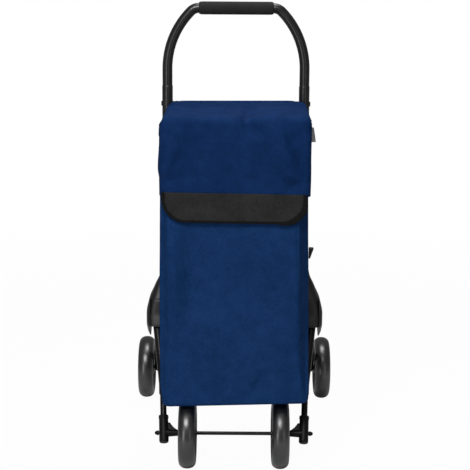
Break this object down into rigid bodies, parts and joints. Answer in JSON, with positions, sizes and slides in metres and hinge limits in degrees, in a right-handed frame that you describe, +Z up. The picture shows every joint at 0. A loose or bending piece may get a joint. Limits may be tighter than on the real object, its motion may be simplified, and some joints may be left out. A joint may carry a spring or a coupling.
{
  "type": "folding shopping trolley",
  "caption": "Folding shopping trolley: bowed tube handle with a foam grip, A-frame legs on spoked wheels, and a hung navy fabric bag with a lid and a front flap.",
  "frame": {"origin": "on the floor under the middle of the trolley, midway between its two axles", "axes": "+Z up; +Y towards the user behind the handle; +X to the right seen from the bag's front"},
  "size_m": [0.4884, 0.583, 1.0055],
  "materials": {
    "frame_black": "satin",
    "zinc": "satin",
    "plastic_black": "matte",
    "button_grey": "matte",
    "rim_black": "satin",
    "tyre": "matte",
    "foam_grip": "matte",
    "bag_navy": "matte",
    "flap_panel": "matte",
    "webbing": "matte",
    "ribbon_grey": "matte",
    "board_grey": "matte"
  },
  "bodies": {
    "chassis": {"upright_left": "frame_black", "upright_right": "frame_black", "hinge_housing_left": "plastic_black", "hinge_housing_right": "plastic_black", "hinge_cover_left": "plastic_black", "hinge_cover_right": "plastic_black", "front_pivot_pin_left": "zinc", "front_pivot_pin_right": "zinc", "rear_pivot_pin_left": "zinc", "rear_pivot_pin_right": "zinc", "hoop_clip_left": "plastic_black", "hoop_clip_right": "plastic_black", "tie_strap_left": "webbing", "tie_strap_right": "webbing", "handle_bow": "frame_black", "handle_grip": "foam_grip", "mouth_hoop": "zinc", "bag_body": "bag_navy", "bag_base_board": "board_grey", "tie_buckle_right": "plastic_black", "side_tab": "ribbon_grey"},
    "front_legs": {"front_leg_left": "frame_black", "front_leg_right": "frame_black", "front_leg_insert_left": "frame_black", "front_leg_insert_right": "frame_black", "front_foot_left": "plastic_black", "front_foot_right": "plastic_black", "front_axle_cap_left": "plastic_black", "front_axle_cap_right": "plastic_black", "front_axle_washer_left": "zinc", "front_axle_washer_right": "zinc", "front_fold_gear_left": "plastic_black", "front_fold_gear_right": "plastic_black", "front_axle": "frame_black"},
    "rear_legs": {"rear_leg_left": "frame_black", "rear_leg_right": "frame_black", "rear_foot_left": "plastic_black", "rear_foot_right": "plastic_black", "rear_axle_bolt_left": "zinc", "rear_axle_bolt_right": "zinc", "rear_fold_gear_left": "plastic_black", "rear_fold_gear_right": "plastic_black", "rear_cross_tube": "frame_black"},
    "front_wheel_left": {"front_wheel_left_tyre": "tyre", "front_wheel_left_rim": "rim_black", "front_wheel_left_bush": "plastic_black"},
    "front_wheel_right": {"front_wheel_right_tyre": "tyre", "front_wheel_right_rim": "rim_black", "front_wheel_right_bush": "plastic_black"},
    "rear_wheel_left": {"rear_wheel_left_tyre": "tyre", "rear_wheel_left_rim": "rim_black", "rear_wheel_left_bush": "plastic_black"},
    "rear_wheel_right": {"rear_wheel_right_tyre": "tyre", "rear_wheel_right_rim": "rim_black", "rear_wheel_right_bush": "plastic_black"},
    "lid": {"lid_top": "bag_navy"},
    "flap": {"flap_front": "bag_navy", "flap_panel": "flap_panel"},
    "fold_lock_left": {"fold_lock_button_left": "button_grey"},
    "fold_lock_right": {"fold_lock_button_right": "button_grey"}
  },
  "joints": [
    {"name": "front_legs_fold", "type": "hinge", "parent": "chassis", "child": "front_legs", "pos_m": [0, -0.0186, 0.305], "axis": [1, 0, 0], "range_deg": [0, 40]},
    {"name": "rear_legs_fold", "type": "hinge", "parent": "chassis", "child": "rear_legs", "pos_m": [0, 0.0186, 0.305], "axis": [1, 0, 0], "range_deg": [-40, 0]},
    {"name": "front_wheel_left_spin", "type": "hinge", "parent": "front_legs", "child": "front_wheel_left", "pos_m": [-0.1024, -0.214, 0.0775], "axis": [1, 0, 0], "continuous": true},
    {"name": "rear_wheel_left_spin", "type": "hinge", "parent": "rear_legs", "child": "rear_wheel_left", "pos_m": [-0.2224, 0.214, 0.0775], "axis": [1, 0, 0], "continuous": true},
    {"name": "front_wheel_right_spin", "type": "hinge", "parent": "front_legs", "child": "front_wheel_right", "pos_m": [0.1024, -0.214, 0.0775], "axis": [1, 0, 0], "continuous": true},
    {"name": "rear_wheel_right_spin", "type": "hinge", "parent": "rear_legs", "child": "rear_wheel_right", "pos_m": [0.2224, 0.214, 0.0775], "axis": [1, 0, 0], "continuous": true},
    {"name": "lid_open", "type": "hinge", "parent": "chassis", "child": "lid", "pos_m": [0, 0.01155, 0.787], "axis": [1, 0, 0], "range_deg": [-90, 0]},
    {"name": "flap_lift", "type": "hinge", "parent": "lid", "child": "flap", "pos_m": [0, -0.21175, 0.77528], "axis": [1, 0, 0], "range_deg": [-85, 0]},
    {"name": "fold_lock_left_press", "type": "slide", "parent": "chassis", "child": "fold_lock_left", "axis": [0, -1, 0], "range_m": [0, 0.004], "stiffness_N_per_m": 1500},
    {"name": "fold_lock_right_press", "type": "slide", "parent": "chassis", "child": "fold_lock_right", "axis": [0, -1, 0], "range_m": [0, 0.004], "stiffness_N_per_m": 1500}
  ],
  "couplings": [
    {"joint": "rear_legs_fold", "follows": "front_legs_fold", "ratio": -1}
  ]
}
